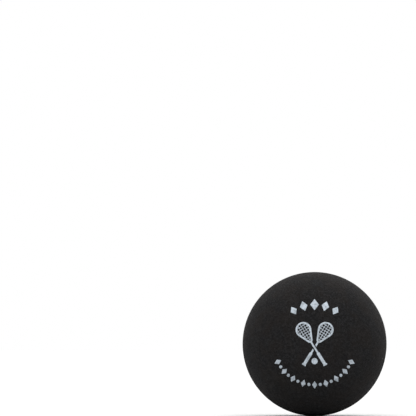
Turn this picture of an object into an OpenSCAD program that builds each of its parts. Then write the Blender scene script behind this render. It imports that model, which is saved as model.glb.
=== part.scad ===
// Squash ball: two moulded rubber half shells, the cured film that bonds them, and the printed marks.
// The origin is the ball's centre. +Z is up, the printed face looks along -Y, and the joint is in XZ.

/* [Ball] */
// Outside diameter of the ball
ball_d = 40; // [39.5:0.1:40.5]
// Thickness of the rubber wall
wall = 5; // [4.5:0.1:5.5]

/* [Bond] */
// Thickness of the cured adhesive film in the joint
film_t = 0.15; // [0.1:0.01:0.3]
// Depth of the hairline that the film leaves open at the ball's surface
hairline_depth = 0.06; // [0.02:0.01:0.1]
// Radius of the bead that is squeezed out inside the ball
bead_r = 0.5; // [0.3:0.05:0.8]

/* [Print] */
// Thickness of the printed ink
ink_t = 0.04; // [0.02:0.01:0.08]
// Diameter of the speed dot on the rear
speed_dot_d = 5; // [3:0.1:6]

/* [Emblem rackets] */
// Angle of each racket from upright
racket_tilt = 32; // [29:1:36]
// Length of each racket
racket_l = 13.6; // [13:0.1:14.5]
// Distance from the butt of a racket to the crossing
crossing_l = 5.7; // [5.4:0.1:6]
// Height of the crossing above the ball's centre
crossing_z = -1; // [-1.5:0.1:0]
// Bare gap on each side of the racket that lies on top at the crossing
crossing_gap = 0.3; // [0.2:0.05:0.5]
// Width of a racket's head
head_w = 4.3; // [4:0.1:4.6]
// Length of a racket's head, down to the throat
head_l = 6.2; // [5.8:0.1:6.6]
// Radius of the throat, where the head meets the shaft
throat_r = 0.75; // [0.6:0.05:0.9]
// Width of the head's frame
frame_w = 0.45; // [0.35:0.05:0.55]
// Width of a string
string_w = 0.16; // [0.12:0.01:0.2]
// Spacing of the strings
string_pitch = 0.72; // [0.6:0.02:0.9]
// Width of the shaft
shaft_w = 0.5; // [0.4:0.05:0.6]
// Length of the grip
grip_l = 4; // [3.5:0.1:4.4]
// Width of the grip
grip_w = 0.85; // [0.7:0.05:1]
// Length of the butt cap
butt_l = 0.5; // [0.4:0.05:0.7]
// Width of the butt cap
butt_w = 1.15; // [1:0.05:1.3]
// Diameter of the emblem's ball
emblem_ball_d = 1.7; // [1.2:0.1:2]
// Drop from the crossing to the emblem's ball
emblem_ball_drop = 3.7; // [3.4:0.1:4.5]

/* [Upper arc] */
// Radius of the arc that the lozenges stand on
lozenge_arc_r = 10.8; // [10.5:0.1:11.5]
// Angle from one lozenge to the next
lozenge_step = 16; // [14:1:18]
// Height of the middle lozenge
lozenge_l = 3.1; // [2.5:0.1:3.3]
// Width of the middle lozenge
lozenge_w = 2.4; // [1.8:0.1:2.6]

/* [Lower arc] */
// Radius of the arc that the border runs along
border_arc_r = 11.2; // [10.8:0.1:11.8]
// Number of lozenges in the border
border_lozenges = 9; // [5:2:9]
// Angle from one border lozenge to the next
border_step = 16; // [15:0.5:17]
// Height of a border lozenge
border_lozenge_l = 2.1; // [1.7:0.1:2.3]
// Width of a border lozenge
border_lozenge_w = 1.4; // [1.1:0.1:1.5]
// Diameter of the dots between the border's lozenges
border_dot_d = 0.85; // [0.6:0.05:0.95]

/* [Hidden] */
// How far a cutting solid runs past what it cuts
overrun = 1;
// Sizes of the lozenges from left to right, as shares of the middle one
lozenge_shares = [0.8, 0.9, 1, 0.9, 0.8];
// Height of the butt cap's taper, as a share of the cap's length
butt_taper_share = 0.4;
ball_r = ball_d / 2;
cavity_r = ball_r - wall;
film_r = ball_r - hairline_depth;
head_r = head_w / 2;
head_top = racket_l - head_r;
throat_top = racket_l - head_l + throat_r;
rubber_black = [0.13, 0.13, 0.13];
adhesive_black = [0.07, 0.06, 0.05];
ink_grey = [0.6, 0.64, 0.68];
dot_yellow = [0.96, 0.71, 0];
$fn = 96;

// Half of the hollow ball, its pole at -Z, cut back from the joint by half of the film.
module half_shell() {
    difference() {
        sphere(r = ball_r);
        sphere(r = cavity_r);
        translate([0, 0, -film_t / 2])
            cylinder(r = ball_r + overrun, h = ball_r + overrun);
    }
}

module front_half_shell() {
    color(rubber_black)
        rotate([-90, 0, 0])
            half_shell();
}

module rear_half_shell() {
    color(rubber_black)
        rotate([90, 0, 0])
            half_shell();
}

// Section of the bond: a flat film between the joint faces and a bead that follows the cavity's wall.
module bond_section() {
    translate([cavity_r - bead_r / 2, -film_t / 2])
        square([film_r - cavity_r + bead_r / 2, film_t]);
    intersection() {
        circle(r = cavity_r);
        translate([cavity_r, 0])
            circle(r = bead_r);
    }
}

module seam_adhesive() {
    color(adhesive_black)
        rotate([90, 0, 0])
            rotate_extrude()
                bond_section();
}

// A skin of ink that lies on the rubber, all round the ball.
module ink_skin() {
    difference() {
        sphere(r = ball_r + ink_t);
        sphere(r = ball_r);
    }
}

// The part of the ink skin under a flat drawing, printed square on the front of the ball.
module print_on_front() {
    intersection() {
        ink_skin();
        rotate([90, 0, 0])
            linear_extrude(height = ball_r + overrun)
                children();
    }
}

// A racket's head as a flat teardrop, drawn in by inset: two circles and the tangents that join them.
module teardrop(inset) {
    rise = head_top - throat_top;
    lean = asin((head_r - throat_r) / rise);
    head = head_r - inset;
    tip = throat_r - inset;
    translate([0, head_top])
        circle(r = head);
    translate([0, throat_top])
        circle(r = tip);
    polygon([
        [head * cos(lean), head_top - head * sin(lean)],
        [-head * cos(lean), head_top - head * sin(lean)],
        [-tip * cos(lean), throat_top - tip * sin(lean)],
        [tip * cos(lean), throat_top - tip * sin(lean)],
    ]);
}

// The string bed, symmetrical about the head's centre and running under the frame.
module strings() {
    across = floor(head_r / string_pitch);
    along = floor(head_l / string_pitch);
    intersection() {
        teardrop(frame_w / 2);
        union() {
            for (i = [-across:across])
                translate([i * string_pitch - string_w / 2, racket_l - head_l])
                    square([string_w, head_l]);
            for (i = [-along:along])
                translate([-head_r, head_top + (i + 1 / 2) * string_pitch - string_w / 2])
                    square([head_w, string_w]);
        }
    }
}

// Grip with its butt cap, from the butt up.
module grip() {
    taper = butt_l * butt_taper_share;
    polygon([
        [-butt_w / 2, 0],
        [butt_w / 2, 0],
        [butt_w / 2, butt_l - taper],
        [grip_w / 2, butt_l],
        [grip_w / 2, grip_l],
        [-grip_w / 2, grip_l],
        [-grip_w / 2, butt_l],
        [-butt_w / 2, butt_l - taper],
    ]);
}

// A racket that stands on its butt at the origin.
module racket() {
    difference() {
        teardrop(0);
        teardrop(frame_w);
    }
    strings();
    translate([-shaft_w / 2, grip_l - butt_l])
        square([shaft_w, racket_l - head_l + frame_w / 2 - grip_l + butt_l]);
    grip();
}

// A racket turned about the crossing.
module crossed_racket(tilt) {
    rotate(tilt)
        translate([0, -crossing_l])
            racket();
}

module emblem_print() {
    color(ink_grey)
        print_on_front()
            translate([0, crossing_z]) {
                crossed_racket(racket_tilt);
                difference() {
                    crossed_racket(-racket_tilt);
                    rotate(racket_tilt)
                        translate([-shaft_w / 2 - crossing_gap, -shaft_w - overrun])
                            square([shaft_w + 2 * crossing_gap, 2 * (shaft_w + overrun)]);
                }
                translate([0, -emblem_ball_drop])
                    circle(d = emblem_ball_d);
            }
}

module lozenge(height, width) {
    polygon([
        [0, height / 2],
        [width / 2, 0],
        [0, -height / 2],
        [-width / 2, 0],
    ]);
}

module upper_lozenge_print() {
    middle = (len(lozenge_shares) - 1) / 2;
    color(ink_grey)
        print_on_front()
            for (i = [0:len(lozenge_shares) - 1])
                rotate((middle - i) * lozenge_step)
                    translate([0, lozenge_arc_r])
                        lozenge(lozenge_l * lozenge_shares[i], lozenge_w * lozenge_shares[i]);
}

module lower_border_print() {
    middle = (border_lozenges - 1) / 2;
    color(ink_grey)
        print_on_front() {
            for (i = [0:border_lozenges - 1])
                rotate((i - middle) * border_step)
                    translate([0, -border_arc_r])
                        lozenge(border_lozenge_l, border_lozenge_w);
            for (i = [0:border_lozenges - 2])
                rotate((i + 1 / 2 - middle) * border_step)
                    translate([0, -border_arc_r])
                        circle(d = border_dot_d);
        }
}

module speed_dot_print() {
    color(dot_yellow)
        intersection() {
            ink_skin();
            rotate([-90, 0, 0])
                cylinder(d = speed_dot_d, h = ball_r + overrun);
        }
}

front_half_shell();
rear_half_shell();
seam_adhesive();
emblem_print();
upper_lozenge_print();
lower_border_print();
speed_dot_print();
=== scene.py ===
"""Squash ball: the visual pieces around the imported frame. The front, with the print, looks along -Y.

The sizes of the wall, the bond and the print repeat those of the CAD source, which isn't read here.
"""

import math

import bpy
import numpy as np
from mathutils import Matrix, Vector, noise


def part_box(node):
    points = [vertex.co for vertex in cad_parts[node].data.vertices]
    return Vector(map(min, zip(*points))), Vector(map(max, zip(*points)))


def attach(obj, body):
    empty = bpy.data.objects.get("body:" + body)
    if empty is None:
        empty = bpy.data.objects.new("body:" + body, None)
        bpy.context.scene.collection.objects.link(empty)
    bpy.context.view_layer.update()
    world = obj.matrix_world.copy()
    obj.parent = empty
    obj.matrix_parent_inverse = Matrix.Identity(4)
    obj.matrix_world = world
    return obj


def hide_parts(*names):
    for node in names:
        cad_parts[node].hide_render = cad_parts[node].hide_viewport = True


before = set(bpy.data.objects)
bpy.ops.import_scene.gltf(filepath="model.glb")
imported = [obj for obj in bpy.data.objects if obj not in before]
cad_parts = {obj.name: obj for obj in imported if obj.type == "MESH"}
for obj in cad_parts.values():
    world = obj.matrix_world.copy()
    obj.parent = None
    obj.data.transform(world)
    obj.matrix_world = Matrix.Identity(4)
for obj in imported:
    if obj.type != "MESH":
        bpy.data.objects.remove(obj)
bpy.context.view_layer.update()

MM = 0.001
FRONT, REAR = -1, 1

# The ball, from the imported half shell
shell_low, shell_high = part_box("front_half_shell")
BALL_R = -shell_low.y
HALF_GAP = -shell_high.y
WALL = 5 * MM
CAVITY_R = BALL_R - WALL

# The bond: its film, the hollow at the film's outer edge and the bead inside the ball
HAIRLINE_DEPTH = 0.06 * MM
FILM_R = BALL_R - HAIRLINE_DEPTH
MENISCUS_RISE = 0.015 * MM
MENISCUS_STEPS = 6
BEAD_R = 0.5 * MM
BEAD_FOOT = 0.002 * MM
BEAD_STEPS = 14
BEAD_WAVE = 0.06 * MM
BEAD_WAVE_SIZE = 2.5 * MM
BEAD_SEED = 5
RING_STEPS = 384

# The mesh of a half shell, and the share of each UV chart that its curved part takes
JOINT_FILLET = 0.06 * MM
FILLET_STEPS = 4
OUTER_CELLS = 192
INNER_CELLS = OUTER_CELLS // 2
OUTER_CHART = (0.004, 0.896)
INNER_CHART = (0.905, 0.995)
DOME_CHART_SHARE = 0.99
CAVITY_CHART_SHARE = 0.82

# The relief of the buffed rubber, always inwards
SWELL_SIZE = 8 * MM
SWELL_DEPTH = 0.016 * MM
SWELL_SEED = 3
GRAIN_SIZE = 1.1 * MM
GRAIN_DEPTH = 0.012 * MM
GRAIN_SEED = 11
RELIEF_FADE = 0.8 * MM
NOISE_FALL = 1
NOISE_LACUNARITY = 2

# The ink film, and the grid that its outline is traced on
INK_T = 0.04 * MM
INK_SUNK = 0.012 * MM
INK_EDGE_W = 0.07 * MM
INK_EDGE_SHARE = 0.3
INK_CELL = 0.05 * MM
EDGE_CLEARANCE = 0.06 * INK_CELL
RAGGED_SIZE = 0.16 * MM
RAGGED_DEPTH = 0.012 * MM
RAGGED_REACH = 4 * INK_CELL
CORNER_R = 0.08 * MM
SPEED_DOT_D = 5 * MM

# The crossed rackets
RACKET_TILT = math.radians(32)
RACKET_L = 13.6 * MM
CROSSING_L = 5.7 * MM
CROSSING_Z = -1 * MM
CROSSING_GAP = 0.3 * MM
CROSSING_CUT = 1.5 * MM
HEAD_W = 4.3 * MM
HEAD_L = 6.2 * MM
THROAT_R = 0.75 * MM
FRAME_W = 0.45 * MM
STRING_W = 0.16 * MM
STRING_PITCH = 0.72 * MM
SHAFT_W = 0.5 * MM
GRIP_L = 4 * MM
GRIP_W = 0.85 * MM
BUTT_L = 0.5 * MM
BUTT_W = 1.15 * MM
BUTT_TAPER_SHARE = 0.4
EMBLEM_BALL_D = 1.7 * MM
EMBLEM_BALL_DROP = 3.7 * MM
HEAD_R = HEAD_W / 2
HEAD_TOP = RACKET_L - HEAD_R
THROAT_TOP = RACKET_L - HEAD_L + THROAT_R

# The arcs above and below the emblem
LOZENGE_ARC_R = 10.8 * MM
LOZENGE_STEP = math.radians(16)
LOZENGE_L = 3.1 * MM
LOZENGE_W = 2.4 * MM
LOZENGE_SHARES = (0.8, 0.9, 1, 0.9, 0.8)
BORDER_ARC_R = 11.2 * MM
BORDER_LOZENGES = 9
BORDER_STEP = math.radians(16)
BORDER_LOZENGE_L = 2.1 * MM
BORDER_LOZENGE_W = 1.4 * MM
BORDER_DOT_D = 0.85 * MM

# The part of the plane that each drawing is traced in: left, right, low and high
EMBLEM_WINDOW = (-8.5 * MM, 8.5 * MM, -7 * MM, 8 * MM)
LOZENGE_WINDOW = (-8 * MM, 8 * MM, 7 * MM, 13 * MM)
BORDER_WINDOW = (-11.5 * MM, 11.5 * MM, -12.6 * MM, -3.9 * MM)
SPEED_DOT_WINDOW = (-3 * MM, 3 * MM, -3 * MM, 3 * MM)

# Colours, in linear light
WHITE = (1, 1, 1, 1)
RUBBER_DARK = (0.015, 0.0146, 0.0153, 1)
RUBBER_LIGHT = (0.0162, 0.0166, 0.0179, 1)
RUBBER_MOTTLE = (0.0228, 0.0224, 0.0232, 1)
RUBBER_SPECKLE = (0.0324, 0.0323, 0.0336, 1)
# The next colour is painted shade, laid into the hollows of the rubber's grain
RUBBER_PAINTED_PIT_SHADE = (0.0093, 0.0091, 0.0093, 1)
RUBBER_BLOOM = (0.0402, 0.0382, 0.0376, 1)
RUBBER_STAIN = (0.0245, 0.0194, 0.0162, 1)
RUBBER_DUST = (0.0518, 0.0514, 0.0512, 1)
RUBBER_BUFFED = (0.0254, 0.0249, 0.0251, 1)
ADHESIVE_DARK = (0.0095, 0.0085, 0.0075, 1)
ADHESIVE_LIGHT = (0.0145, 0.013, 0.0115, 1)
GREY_THIN = (0.398, 0.446, 0.494, 1)
GREY_THICK = (0.662, 0.744, 0.826, 1)
GREY_HOLE = (0.058, 0.065, 0.073, 1)
YELLOW_THIN = (0.82, 0.42, 0.016, 1)
YELLOW_THICK = (0.95, 0.53, 0.026, 1)
YELLOW_HOLE = (0.2, 0.1, 0.01, 1)

# The grain that the rubber's and the ink's materials share, and the buffing lines beside the joint
FINE_GRAIN = {"size": 0.28 * MM, "detail": 4, "seed": 2}
BUFFED_FROM = 1.8 * MM
BUFFED_FULL = 0.5 * MM
LINES_PER_M = (160, 9000, 160)

# The camera: a long lens level with the ball, turned so that the ball stands low on the frame's right
FRAME_PX = 416
BALL_PX = (314.57, 344.0)
BALL_R_PX = 71.97
SENSOR_MM = 36
LENS_MM = 400
CLIP_NEAR = 0.01
CLIP_FAR = 60

# The light: an even white surround and two soft lamps, one before the ball and one higher behind it.
# Each lamp has its name, its level and the direction that it shines from.
SURROUND_LEVEL = 0.2
LAMPS = (("front_lamp", 1.67, Vector((0, -1, 1.03))), ("back_lamp", 1.76, Vector((0.1, 0.58, 1))))
LAMP_SPREAD = math.radians(60)

# The floor: its half width, and the grey that it has for all but the eye and reflections
FLOOR_REACH = 12
FLOOR_GREY = (0.65, 0.65, 0.65, 1)


def noise_at(points, size, octaves, seed):
    """Fractal noise at each point, about -1 to 1, with features of the given size."""
    shift = Vector((seed, -seed, seed / 2))
    spots = [Vector(p) / size + shift for p in points.tolist()]
    return np.array([noise.fractal(spot, NOISE_FALL, NOISE_LACUNARITY, octaves) for spot in spots])


def smooth_step(share):
    """Eases a share in and out between 0 and 1."""
    share = np.clip(share, 0, 1)
    return share * share * (3 - 2 * share)


def relief(directions):
    """Radius of the rubber in each direction: a broad swell and the grain that buffing leaves."""
    spots = directions * BALL_R
    swell = noise_at(spots, SWELL_SIZE, octaves=2, seed=SWELL_SEED)
    grain = noise_at(spots, GRAIN_SIZE, octaves=3, seed=GRAIN_SEED)
    depth = SWELL_DEPTH * (1 + np.clip(swell, -1, 1)) / 2 + GRAIN_DEPTH * (1 + np.clip(grain, -1, 1)) / 2
    fade = smooth_step((np.abs(spots[:, 1]) - HALF_GAP - JOINT_FILLET) / RELIEF_FADE)
    return BALL_R - depth * fade


def on_side(points, side):
    """Points made for the front of the ball, turned half round for the rear."""
    return points * (-1, -1, 1) if side == REAR else points


def make_piece(name, points, faces, node, material):
    """A smooth mesh that replaces a CAD node and rides on the part's one body."""
    mesh = bpy.data.meshes.new(name)
    mesh.from_pydata(points.tolist(), [], faces)
    mesh.validate()
    mesh.shade_smooth()
    mesh.materials.append(material)
    piece = bpy.data.objects.new(name, mesh)
    bpy.context.scene.collection.objects.link(piece)
    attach(piece, "root")
    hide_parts(node)
    return piece


def disc_grid(cells):
    """A square grid of points, and the radius and heading on the unit disc that each of them goes to."""
    line = np.linspace(-1, 1, cells + 1)
    a, b = np.meshgrid(line, line)
    a, b = a.ravel(), b.ravel()
    wide = np.abs(a) > np.abs(b)
    radius = np.where(wide, a, b)
    share = np.divide(np.where(wide, b, a), radius, out=np.zeros_like(a), where=radius != 0)
    turn = np.where(wide, share * math.pi / 4, math.pi / 2 - share * math.pi / 4)
    heading = np.stack([np.cos(turn), np.sin(turn)], 1) * np.sign(radius)[:, None]
    return np.stack([a, b], 1), np.abs(radius), heading


def grid_faces(cells, start, flip):
    """The grid's quads. The disc flattens a corner of those on a diagonal, so they are cut in two there."""
    faces = []
    row = cells + 1
    for j in range(cells):
        for i in range(cells):
            a = start + j * row + i
            b, c, d = a + 1, a + row + 1, a + row
            if i == j:
                cell = [(a, b, c), (a, c, d)]
            elif i + j == cells - 1:
                cell = [(a, b, d), (b, c, d)]
            else:
                cell = [(a, b, c, d)]
            faces += [face[::-1] if flip else face for face in cell]
    return faces


def grid_rim(cells, start):
    """The grid's outer points, once round."""
    row = cells + 1
    low = [start + i for i in range(cells)]
    right = [start + j * row + cells for j in range(cells)]
    high = [start + cells * row + i for i in range(cells, 0, -1)]
    left = [start + j * row for j in range(cells, 0, -1)]
    return low + right + high + left


def band_faces(low, high):
    """Quads between two closed rings of points."""
    return list(zip(low, high, high[1:] + high[:1], low[1:] + low[:1]))


def joint_faces(outer, inner):
    """The flat joint face, between an outer ring and an inner one with half as many points."""
    faces = []
    for k in range(len(inner)):
        here, after = inner[k], inner[(k + 1) % len(inner)]
        first, middle, end = outer[2 * k], outer[2 * k + 1], outer[(2 * k + 2) % len(outer)]
        faces += [(first, here, middle), (middle, here, after), (middle, after, end)]
    return faces


def dome(radius, heading, edge_angle):
    """Unit directions that spread a disc over a cap, from the pole at -Y out to the edge's angle."""
    angle = radius * edge_angle
    return np.stack([heading[:, 0] * np.sin(angle), -np.cos(angle), heading[:, 1] * np.sin(angle)], 1)


def on_chart(square, chart):
    """Points of the square from -1 to 1, carried to a chart of the UV map."""
    low, high = chart
    return low + (square + 1) / 2 * (high - low)


def half_shell(name, node, side, material):
    """Half of the hollow ball: relief outside, a small fillet, a flat joint face and the cavity."""
    centre_y = HALF_GAP + JOINT_FILLET
    centre_r = math.sqrt((BALL_R - JOINT_FILLET) ** 2 - centre_y**2)
    edge_angle = math.atan2(centre_r, centre_y)
    outer_square, radius, heading = disc_grid(OUTER_CELLS)
    directions = dome(radius, heading, edge_angle)
    points = [directions * relief(directions)[:, None]]
    outer_map = [outer_square * DOME_CHART_SHARE]
    outer_faces = grid_faces(OUTER_CELLS, 0, False)

    ring = grid_rim(OUTER_CELLS, 0)
    rim_square, rim_heading = outer_square[ring], heading[ring]
    count = len(outer_square)
    for step in range(1, FILLET_STEPS + 1):
        turn = edge_angle + (math.pi - edge_angle) * step / FILLET_STEPS
        r = centre_r + JOINT_FILLET * math.sin(turn)
        y = -centre_y - JOINT_FILLET * math.cos(turn)
        points.append(np.stack([rim_heading[:, 0] * r, np.full(len(ring), y), rim_heading[:, 1] * r], 1))
        outer_map.append(rim_square * (DOME_CHART_SHARE + (1 - DOME_CHART_SHARE) * step / FILLET_STEPS))
        before, ring = ring, list(range(count, count + len(ring)))
        outer_faces += band_faces(before, ring)
        count += len(ring)

    inner_square, radius, heading = disc_grid(INNER_CELLS)
    points.append(dome(radius, heading, math.acos(HALF_GAP / CAVITY_R)) * CAVITY_R)
    inner_faces = joint_faces(ring, grid_rim(INNER_CELLS, count)) + grid_faces(INNER_CELLS, count, True)

    points = on_side(np.concatenate(points), side)
    piece = make_piece(name, points, outer_faces + inner_faces, node, material)
    outer_uv, inner_uv = np.zeros((2, len(points), 2))
    outer_uv[:count] = on_chart(np.concatenate(outer_map), OUTER_CHART)
    inner_uv[count:] = on_chart(inner_square * CAVITY_CHART_SHARE, INNER_CHART)
    inner_uv[ring] = on_chart(rim_square, INNER_CHART)
    uv = np.concatenate([outer_uv[np.concatenate(outer_faces)], inner_uv[np.concatenate(inner_faces)]])
    piece.data.uv_layers.new(name="OFBake").data.foreach_set("uv", uv.astype(np.float32).ravel())


def bond_section():
    """The bond's section: for each point its radius, its Y and its share of the bead's wave."""
    section = []
    for step in range(MENISCUS_STEPS + 1):
        share = 2 * step / MENISCUS_STEPS - 1
        section.append((FILM_R - MENISCUS_RISE * (1 - share * share), share * HALF_GAP, 0))
    section.append((CAVITY_R + BEAD_FOOT, HALF_GAP, 0))
    start = math.pi / 2 - math.asin(BEAD_R / 2 / CAVITY_R)
    for step in range(1, BEAD_STEPS):
        turn = start - 2 * start * step / BEAD_STEPS
        section.append((CAVITY_R - BEAD_R * math.cos(turn), BEAD_R * math.sin(turn), math.cos(turn)))
    section.append((CAVITY_R + BEAD_FOOT, -HALF_GAP, 0))
    return section


def bond(name, node, material):
    """The cured film, a little hollow at its outer edge, and the uneven bead inside the ball."""
    turns = np.arange(RING_STEPS) * math.tau / RING_STEPS
    once_round = np.stack([np.cos(turns), np.zeros(RING_STEPS), np.sin(turns)], 1)
    wave = noise_at(once_round * CAVITY_R, BEAD_WAVE_SIZE, octaves=2, seed=BEAD_SEED) * BEAD_WAVE
    section = bond_section()
    points = [once_round * (r - wave * share)[:, None] + (0, y, 0) for r, y, share in section]
    rings = [list(range(j * RING_STEPS, (j + 1) * RING_STEPS)) for j in range(len(section))]
    faces = []
    for low, high in zip(rings, rings[1:] + rings[:1]):
        faces += band_faces(low, high)
    make_piece(name, np.concatenate(points), faces, node, material)


def around(x, z, turn):
    """Plane points as a drawing sees them that was turned anticlockwise."""
    return x * math.cos(turn) + z * math.sin(turn), z * math.cos(turn) - x * math.sin(turn)


def circle(x, z, cx, cz, r):
    """Distance to a circle, less than zero inside it."""
    return np.hypot(x - cx, z - cz) - r


def bar(x, z, low_x, high_x, low_z, high_z, corner_r=0.0):
    """Distance to an upright rectangle, less than zero inside it."""
    dx = np.abs(x - (low_x + high_x) / 2) - (high_x - low_x) / 2 + corner_r
    dz = np.abs(z - (low_z + high_z) / 2) - (high_z - low_z) / 2 + corner_r
    return np.hypot(np.maximum(dx, 0), np.maximum(dz, 0)) + np.minimum(np.maximum(dx, dz), 0) - corner_r


def outline(x, z, corners, corner_r=0.0):
    """Distance to a closed outline of straight edges, less than zero inside it."""
    best = np.full(x.shape, np.inf)
    inside = np.zeros(x.shape, bool)
    for (ax, az), (bx, bz) in zip(corners, corners[1:] + corners[:1]):
        ex, ez = bx - ax, bz - az
        share = np.clip(((x - ax) * ex + (z - az) * ez) / (ex * ex + ez * ez), 0, 1)
        best = np.minimum(best, np.hypot(x - ax - share * ex, z - az - share * ez))
        if ez:
            inside ^= ((az > z) != (bz > z)) & (x < (z - az) * ex / ez + ax)
    return np.where(inside, -best, best) - corner_r


def teardrop(x, z):
    """Distance to a racket head's outside: two circles and the tangents that join them."""
    rise = HEAD_TOP - THROAT_TOP
    lean = (HEAD_R - THROAT_R) / rise
    across = math.sqrt(1 - lean * lean)
    x, down = np.abs(x), HEAD_TOP - z
    along = down * across - x * lean
    side = x * across + down * lean - HEAD_R
    side = np.where(along > across * rise, np.hypot(x, down - rise) - THROAT_R, side)
    return np.where(along < 0, np.hypot(x, down) - HEAD_R, side)


def racket(x, z):
    """Distance to a racket that stands on its butt at the origin."""
    head = teardrop(x, z)
    frame_ring = np.maximum(head, -head - FRAME_W)
    mains = np.abs((x + STRING_PITCH / 2) % STRING_PITCH - STRING_PITCH / 2)
    crosses = np.abs((z - HEAD_TOP) % STRING_PITCH - STRING_PITCH / 2)
    strings = np.maximum(np.minimum(mains, crosses) - STRING_W / 2, head + FRAME_W / 2)
    shaft = bar(x, z, -SHAFT_W / 2, SHAFT_W / 2, GRIP_L - BUTT_L, RACKET_L - HEAD_L + FRAME_W / 2)
    handle = bar(x, z, -GRIP_W / 2, GRIP_W / 2, BUTT_L / 2, GRIP_L, CORNER_R)
    shoulder = BUTT_L * (1 - BUTT_TAPER_SHARE)
    half = [(BUTT_W / 2, 0), (BUTT_W / 2, shoulder), (GRIP_W / 2, BUTT_L)]
    butt = outline(x, z, half + [(-a, b) for a, b in half[::-1]])
    return np.minimum.reduce([frame_ring, strings, shaft, handle, butt])


def emblem(x, z):
    """Two crossed rackets, the second cut away beside the first, and the ball under them."""
    z = z - CROSSING_Z
    first_x, first_z = around(x, z, RACKET_TILT)
    second_x, second_z = around(x, z, -RACKET_TILT)
    reach = SHAFT_W / 2 + CROSSING_GAP
    cut = bar(first_x, first_z, -reach, reach, -CROSSING_CUT, CROSSING_CUT)
    second = np.maximum(racket(second_x, second_z + CROSSING_L), -cut)
    ball = circle(x, z, 0, -EMBLEM_BALL_DROP, EMBLEM_BALL_D / 2)
    return np.minimum.reduce([racket(first_x, first_z + CROSSING_L), second, ball])


def lozenge(x, z, height, width):
    """Distance to an upright lozenge with its corners a little rounded."""
    tall, wide = height / 2, width / 2
    inset = 1 - CORNER_R * math.hypot(tall, wide) / (tall * wide)
    tall, wide = tall * inset, wide * inset
    return outline(x, z, [(0, tall), (-wide, 0), (0, -tall), (wide, 0)], CORNER_R)


def lozenges(x, z):
    """The five lozenges of the upper arc."""
    shapes = []
    middle = (len(LOZENGE_SHARES) - 1) / 2
    for i, share in enumerate(LOZENGE_SHARES):
        lx, lz = around(x, z, (middle - i) * LOZENGE_STEP)
        shapes.append(lozenge(lx, lz - LOZENGE_ARC_R, LOZENGE_L * share, LOZENGE_W * share))
    return np.minimum.reduce(shapes)


def border(x, z):
    """The lower arc's lozenges, with a dot between each and the next."""
    shapes = []
    middle = (BORDER_LOZENGES - 1) / 2
    for i in range(BORDER_LOZENGES):
        lx, lz = around(x, z, (i - middle) * BORDER_STEP)
        shapes.append(lozenge(lx, lz + BORDER_ARC_R, BORDER_LOZENGE_L, BORDER_LOZENGE_W))
    for i in range(BORDER_LOZENGES - 1):
        lx, lz = around(x, z, (i + 0.5 - middle) * BORDER_STEP)
        shapes.append(circle(lx, lz, 0, -BORDER_ARC_R, BORDER_DOT_D / 2))
    return np.minimum.reduce(shapes)


def speed_dot(x, z):
    return circle(x, z, 0, 0, SPEED_DOT_D / 2)


def ink_depth(drawing, xs, zs, seed):
    """Distance to the drawing's ragged edge at each grid point. No point lies just on the edge."""
    x, z = np.meshgrid(xs, zs)
    depth = drawing(x, z)
    near = np.abs(depth) < RAGGED_REACH
    flat = np.stack([x[near], z[near], np.zeros(near.sum())], 1)
    depth[near] += noise_at(flat, RAGGED_SIZE, octaves=2, seed=seed) * RAGGED_DEPTH
    clear = np.where(depth < 0, -EDGE_CLEARANCE, EDGE_CLEARANCE)
    return np.where(np.abs(depth) < EDGE_CLEARANCE, clear, depth)


def trace(depth, xs, zs):
    """The area where depth is below zero: its points, how far inside each lies, its faces and its rim."""
    inside = depth < 0
    ids, spots, insets = {}, [], []

    def point_id(key, spot, inset):
        if key not in ids:
            ids[key] = len(spots)
            spots.append(spot)
            insets.append(inset)
        return ids[key]

    def corner_id(j, i):
        return point_id((j, i), (xs[i], zs[j]), -depth[j, i])

    def edge_id(a, b):
        (ja, ia), (jb, ib) = key = (min(a, b), max(a, b))
        share = depth[ja, ia] / (depth[ja, ia] - depth[jb, ib])
        spot = (xs[ia] + (xs[ib] - xs[ia]) * share, zs[ja] + (zs[jb] - zs[ja]) * share)
        return point_id(key, spot, 0.0)

    faces, rim = [], []
    touched = inside[:-1, :-1] | inside[1:, :-1] | inside[:-1, 1:] | inside[1:, 1:]
    for j, i in np.argwhere(touched).tolist():
        corners = [(j, i), (j, i + 1), (j + 1, i + 1), (j + 1, i)]
        walk, exits = [], []
        for here, there in zip(corners, corners[1:] + corners[:1]):
            if inside[here]:
                walk.append(corner_id(*here))
            if inside[here] and not inside[there]:
                exits.append(len(walk))
            if inside[here] != inside[there]:
                walk.append(edge_id(here, there))
        faces.append(tuple(walk))
        rim += [(walk[at], walk[(at + 1) % len(walk)]) for at in exits]
    return np.array(spots), np.array(insets), faces, rim


def on_ball(spots, side, lift):
    """Points of the drawing's plane, carried along Y to the rubber's surface and lifted off it."""
    x, z = spots.T
    directions = on_side(np.stack([x, -np.sqrt(BALL_R**2 - x * x - z * z), z], 1) / BALL_R, side)
    return directions * (relief(directions) + lift)[:, None]


def print_piece(name, node, drawing, window, side, seed, material):
    """A closed film of ink on the rubber, in the shape of a drawing and with a rounded edge."""
    left, right, low, high = window
    xs, zs = np.arange(left, right, INK_CELL), np.arange(low, high, INK_CELL)
    spots, insets, faces, rim = trace(ink_depth(drawing, xs, zs, seed), xs, zs)
    share = np.clip(insets / INK_EDGE_W, 0, 1)
    lift = INK_T * (INK_EDGE_SHARE + (1 - INK_EDGE_SHARE) * np.sqrt(1 - (1 - share) ** 2))
    points = np.concatenate([on_ball(spots, side, lift), on_ball(spots, side, -INK_SUNK)])
    under = len(spots)
    faces += [tuple(k + under for k in face[::-1]) for face in faces]
    faces += [(a, a + under, b + under, b) for a, b in rim]
    make_piece(name, points, faces, node, material)


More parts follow.
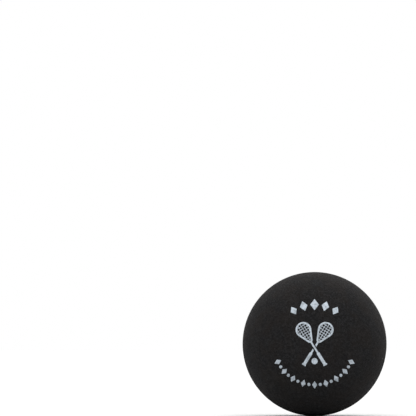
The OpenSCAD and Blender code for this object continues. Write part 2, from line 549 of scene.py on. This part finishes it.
class Tree:
    """Adds and links the nodes that feed the shader of a material or of the world."""

    def __init__(self, owner, shader_type):
        owner.use_nodes = True
        self.owner = owner
        self.nodes = owner.node_tree.nodes
        self.links = owner.node_tree.links
        self.shader = next(n for n in self.nodes if n.type == shader_type)

    def feed(self, socket, value):
        """Links a node's output to a socket, or sets the socket to a plain value."""
        if isinstance(value, bpy.types.NodeSocket):
            self.links.new(value, socket)
        else:
            socket.default_value = value

    def add(self, kind, inputs=None, **settings):
        node = self.nodes.new(kind)
        for key, value in settings.items():
            setattr(node, key, value)
        for key, value in (inputs or {}).items():
            self.feed(node.inputs[key], value)
        return node

    def set(self, **inputs):
        """Feeds the shader's sockets, named with _ for each space."""
        for key, value in inputs.items():
            self.feed(self.shader.inputs[key.replace("_", " ")], value)

    def maths(self, operation, a, b=0.0):
        return self.add("ShaderNodeMath", {0: a, 1: b}, operation=operation).outputs[0]

    def plus(self, a, b, share):
        """The first value, plus a share of the second."""
        return self.maths("ADD", a, self.maths("MULTIPLY", b, share))

    def seen(self):
        """1 where the eye looks, straight or by reflection, and 0 for light that falls on the ball."""
        path = self.add("ShaderNodeLightPath").outputs
        seen = self.maths("MAXIMUM", path["Is Camera Ray"], path["Is Glossy Ray"])
        return self.maths("MAXIMUM", seen, path["Is Transmission Ray"])


class Surface(Tree):
    """A node material. Its patterns lie in the part's own space, so they don't depend on a UV map."""

    def __init__(self, name):
        super().__init__(bpy.data.materials.new(name), "BSDF_PRINCIPLED")
        self.place = self.add("ShaderNodeTexCoord").outputs["Object"]

    def noise(self, size, detail, seed, stretch=None):
        """Noise with features of the given size, in a space that stretch scales along each axis."""
        vector = self.place
        if stretch:
            vector = self.add("ShaderNodeMapping", {"Vector": vector, "Scale": stretch}).outputs[0]
        inputs = {"Vector": vector, "W": seed, "Scale": 1 / size, "Detail": detail}
        return self.add("ShaderNodeTexNoise", inputs, noise_dimensions="4D").outputs[0]

    def ramp(self, value, low, high, to_low=0.0, to_high=1.0):
        inputs = {"Value": value, "From Min": low, "From Max": high, "To Min": to_low, "To Max": to_high}
        return self.add("ShaderNodeMapRange", inputs, interpolation_type="SMOOTHSTEP").outputs[0]

    def patches(self, start, full, most=1.0, **pattern):
        """How far noise patches cover the surface: not at all below the start, the most above full."""
        return self.ramp(self.noise(**pattern), start, full, to_high=most)

    def blend(self, share, a, b):
        """Mixes two colours. The node has several sockets of each name, so they go by number."""
        return self.add("ShaderNodeMix", {0: share, 6: a, 7: b}, data_type="RGBA").outputs[2]

    def bump(self, height, distance):
        return self.add("ShaderNodeBump", {"Height": height, "Distance": distance}).outputs[0]


def rubber_material():
    """Buffed black rubber: clouds, specks, a pale bloom, a warm stain, a fine grain, and painted shade that
    darkens the grain's hollows.
    """
    t = Surface("buffed_black_rubber")
    grain = t.noise(**FINE_GRAIN)
    height = t.plus(grain, t.noise(size=0.11 * MM, detail=2, seed=3), share=0.4)
    across = t.add("ShaderNodeSeparateXYZ", {"Vector": t.place}).outputs["Y"]
    band = t.ramp(t.maths("ABSOLUTE", across), BUFFED_FULL, BUFFED_FROM, to_low=1, to_high=0)
    lines = t.patches(start=0.4, full=0.65, size=1.0, detail=3, seed=5, stretch=LINES_PER_M)
    buffed = t.maths("MULTIPLY", band, lines)
    clouds = t.patches(start=0.3, full=0.7, size=5.5 * MM, detail=3, seed=1)
    mottle = t.patches(start=0.3, full=0.7, most=0.5, size=1.6 * MM, detail=3, seed=8)
    speckle = t.patches(start=0.35, full=0.65, most=0.9, size=0.7 * MM, detail=3, seed=9)
    # Painted shade: the colour darkens where the grain's bump height is low, in its hollows
    painted_pit_shade = t.ramp(height, 0.6, 0.8, to_low=0.8, to_high=0)
    bloom_area = t.patches(start=0.5, full=0.75, size=8 * MM, detail=2, seed=10)
    bloom_spots = t.patches(start=0.45, full=0.8, size=2 * MM, detail=4, seed=11)
    bloom = t.maths("MULTIPLY", bloom_area, bloom_spots)
    stain = t.patches(start=0.35, full=0.65, most=0.35, size=3.5 * MM, detail=5, seed=12)
    dust = t.patches(start=0.73, full=0.79, most=0.35, size=0.42 * MM, detail=1, seed=4)
    layers = (
        (mottle, RUBBER_MOTTLE),
        (speckle, RUBBER_SPECKLE),
        (painted_pit_shade, RUBBER_PAINTED_PIT_SHADE),
        (bloom, RUBBER_BLOOM),
        (stain, RUBBER_STAIN),
        (dust, RUBBER_DUST),
        (t.maths("MULTIPLY", buffed, 0.35), RUBBER_BUFFED),
    )
    colour = t.blend(clouds, RUBBER_DARK, RUBBER_LIGHT)
    for share, tint in layers:
        colour = t.blend(share, colour, tint)
    rough = t.plus(t.ramp(grain, 0.3, 0.7, to_low=0.74, to_high=0.86), buffed, share=0.05)
    height = t.plus(height, buffed, share=0.1)
    t.set(Base_Color=colour, Roughness=rough, Normal=t.bump(height, 0.2 * MM))
    t.set(Specular_IOR_Level=0.026, Sheen_Weight=0.027, Sheen_Roughness=0.5, Sheen_Tint=WHITE)
    return t.owner


def adhesive_material():
    """Cured rubber solution: smoother and darker than the rubber, with soft clouds and a faint skin."""
    t = Surface("cured_rubber_solution")
    cloud = t.noise(size=1.4 * MM, detail=3, seed=6)
    skin = t.noise(size=0.2 * MM, detail=2, seed=7)
    t.set(Base_Color=t.blend(t.ramp(cloud, 0.3, 0.7), ADHESIVE_DARK, ADHESIVE_LIGHT))
    t.set(Roughness=t.ramp(cloud, 0.3, 0.7, to_low=0.55, to_high=0.72), Normal=t.bump(skin, 0.01 * MM))
    t.set(Specular_IOR_Level=0.15)
    return t.owner


def ink_material(name, thin, thick, hole, seed):
    """Printed ink: clouds of thicker and thinner film, with pinholes down to the rubber."""
    t = Surface(name)
    clouds = t.patches(start=0.33, full=0.62, size=0.8 * MM, detail=4, seed=seed)
    fine = t.noise(size=0.1 * MM, detail=2, seed=seed + 1)
    holes = t.patches(start=0.66, full=0.74, most=0.75, size=0.2 * MM, detail=2, seed=seed + 2)
    colour = t.blend(clouds, thin, thick)
    colour = t.blend(t.ramp(fine, 0.35, 0.7, to_high=0.25), colour, thin)
    colour = t.blend(holes, colour, hole)
    rough = t.ramp(fine, 0.3, 0.7, to_low=0.48, to_high=0.62)
    height = t.plus(t.maths("MULTIPLY", t.noise(**FINE_GRAIN), 0.6), holes, share=-0.5)
    t.set(Base_Color=colour, Roughness=rough, Normal=t.bump(height, 0.015 * MM), Specular_IOR_Level=0.3)
    return t.owner


def floor_material():
    """Pale floor: white to the eye and to reflections, and a softer grey in what it throws back."""
    t = Surface("pale_floor")
    t.set(Base_Color=t.blend(t.seen(), FLOOR_GREY, WHITE), Roughness=1.0, Specular_IOR_Level=0.0)
    return t.owner


def build_camera():
    data = bpy.data.cameras.new("camera")
    data.sensor_width, data.lens = SENSOR_MM, LENS_MM
    data.clip_start, data.clip_end = CLIP_NEAR, CLIP_FAR
    lens_px = LENS_MM / SENSOR_MM * FRAME_PX
    right, down = BALL_PX[0] - FRAME_PX / 2, BALL_PX[1] - FRAME_PX / 2
    distance = math.hypot(BALL_R, lens_px * BALL_R / BALL_R_PX)
    pitch = math.atan2(down, lens_px)
    turn = math.atan2(right, math.hypot(lens_px, down))
    camera = bpy.data.objects.new("camera", data)
    camera.location = (0, -distance, 0)
    camera.rotation_euler = (math.pi / 2 + pitch, 0, turn)
    bpy.context.scene.collection.objects.link(camera)
    bpy.context.scene.camera = camera


def build_floor():
    mesh = bpy.data.meshes.new("floor")
    square = [(-1, -1), (1, -1), (1, 1), (-1, 1)]
    corners = [(x * FLOOR_REACH, y * FLOOR_REACH, -BALL_R) for x, y in square]
    mesh.from_pydata(corners, [], [(0, 1, 2, 3)])
    mesh.materials.append(floor_material())
    floor = bpy.data.objects.new("floor", mesh)
    bpy.context.scene.collection.objects.link(floor)


def build_light():
    """The lamps, and the surround, which is white to the eye but dimmer as a light on the ball."""
    world = bpy.data.worlds.new("studio")
    t = Tree(world, "BACKGROUND")
    strength = t.add("ShaderNodeMapRange", {"Value": t.seen(), "To Min": SURROUND_LEVEL, "To Max": 1.0})
    t.set(Color=WHITE, Strength=strength.outputs[0])
    bpy.context.scene.world = world

    for name, level, heading in LAMPS:
        data = bpy.data.lights.new(name, "SUN")
        data.energy, data.angle = level, LAMP_SPREAD
        lamp = bpy.data.objects.new(name, data)
        lamp.rotation_euler = heading.to_track_quat("Z", "Y").to_euler()
        bpy.context.scene.collection.objects.link(lamp)


build_camera()
build_floor()
build_light()
bpy.context.scene.view_settings.view_transform = "Standard"

rubber = rubber_material()
inks = {
    "silver_grey_ink": ink_material("silver_grey_ink", GREY_THIN, GREY_THICK, GREY_HOLE, seed=20),
    "yellow_ink": ink_material("yellow_ink", YELLOW_THIN, YELLOW_THICK, YELLOW_HOLE, seed=30),
}

half_shell("front_half_shell_rubber", "front_half_shell", FRONT, rubber)
half_shell("rear_half_shell_rubber", "rear_half_shell", REAR, rubber)
bond("seam_bond", "seam_adhesive", adhesive_material())

# Each print has its name, drawing and window, the side that it is on, the seed of its edge, and its ink
prints = (
    ("emblem", emblem, EMBLEM_WINDOW, FRONT, 41, "silver_grey_ink"),
    ("upper_lozenge", lozenges, LOZENGE_WINDOW, FRONT, 42, "silver_grey_ink"),
    ("lower_border", border, BORDER_WINDOW, FRONT, 43, "silver_grey_ink"),
    ("speed_dot", speed_dot, SPEED_DOT_WINDOW, REAR, 44, "yellow_ink"),
)
for name, drawing, window, side, seed, slot in prints:
    print_piece(f"{name}_ink", f"{name}_print", drawing, window, side, seed, inks[slot])
